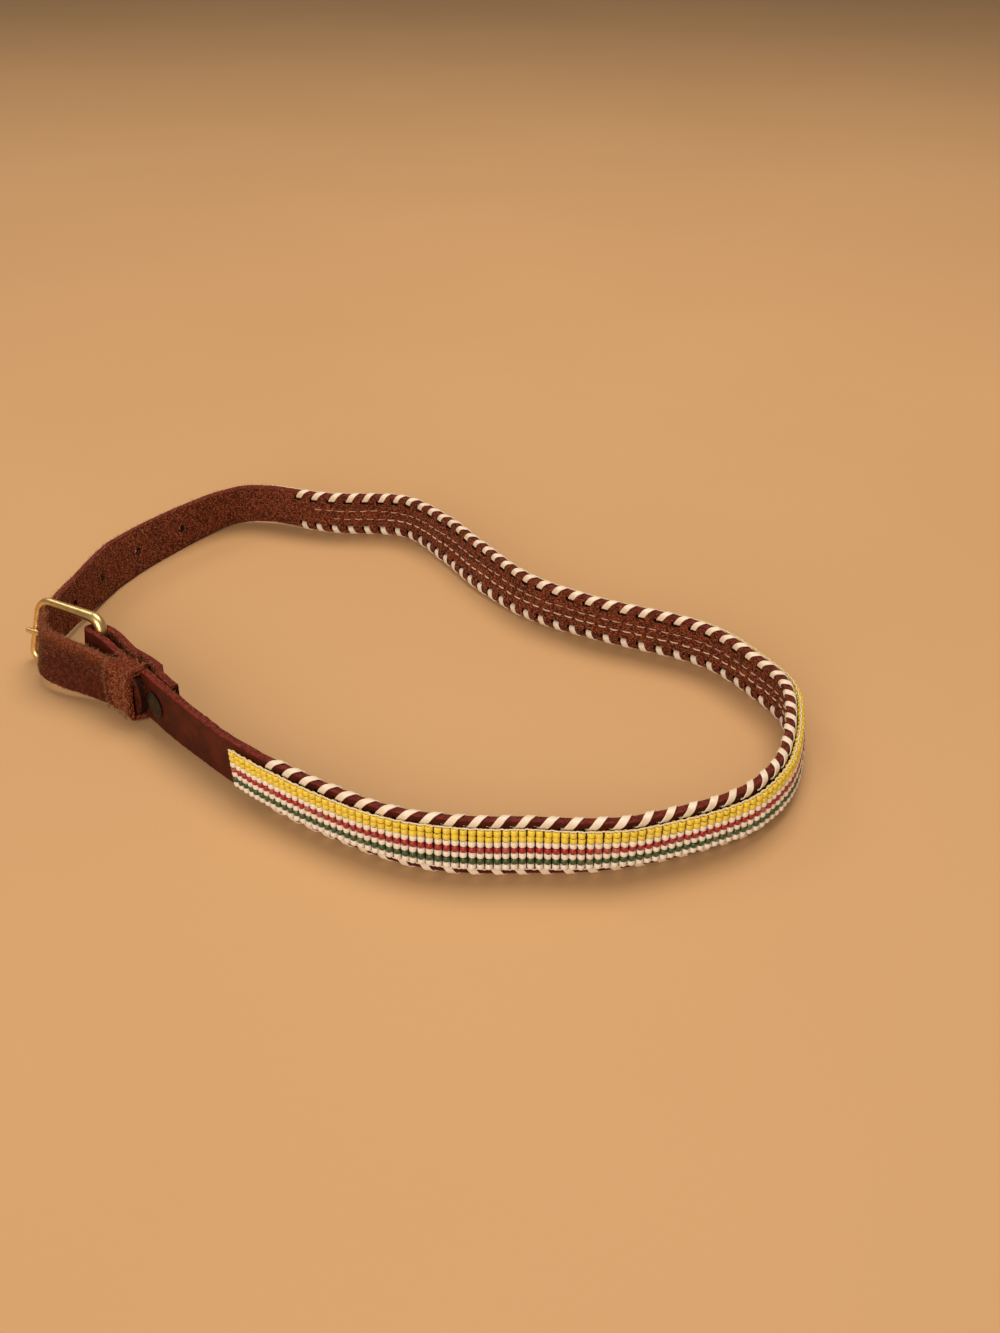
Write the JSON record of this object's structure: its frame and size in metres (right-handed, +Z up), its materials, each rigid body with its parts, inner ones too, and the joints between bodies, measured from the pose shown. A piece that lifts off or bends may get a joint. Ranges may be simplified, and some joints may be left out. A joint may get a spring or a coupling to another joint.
{
  "type": "beaded belt",
  "caption": "Narrow leather belt buckled into a loose loop, with a striped beadwork band on its outer face, lace whipped over both edges, and a brass prong buckle.",
  "frame": {"origin": "middle of the belt's bounding box, at the level that it stands on", "axes": "+Z up across the strap's width, +X along the loop away from the buckle, -Y towards the side that faces the viewer"},
  "size_m": [0.2796, 0.2434, 0.0275],
  "materials": {
    "strap_leather": "smooth dark grain outside, rough flesh side inside",
    "keeper_leather": "rough suede side out",
    "lace": "ivory white, slight shine",
    "beads": "opaque glossy beads in yellow, white, red and green rows",
    "buckle_metal": "polished, slightly worn",
    "rivet_metal": "antique, dark"
  },
  "bodies": {
    "root": {"strap": "strap_leather", "keeper": "keeper_leather", "lace_top": "lace", "lace_bottom": "lace", "bead_band": "beads", "buckle_frame": "buckle_metal", "buckle_prong": "buckle_metal", "rivet": "rivet_metal"}
  },
  "joints": []
}
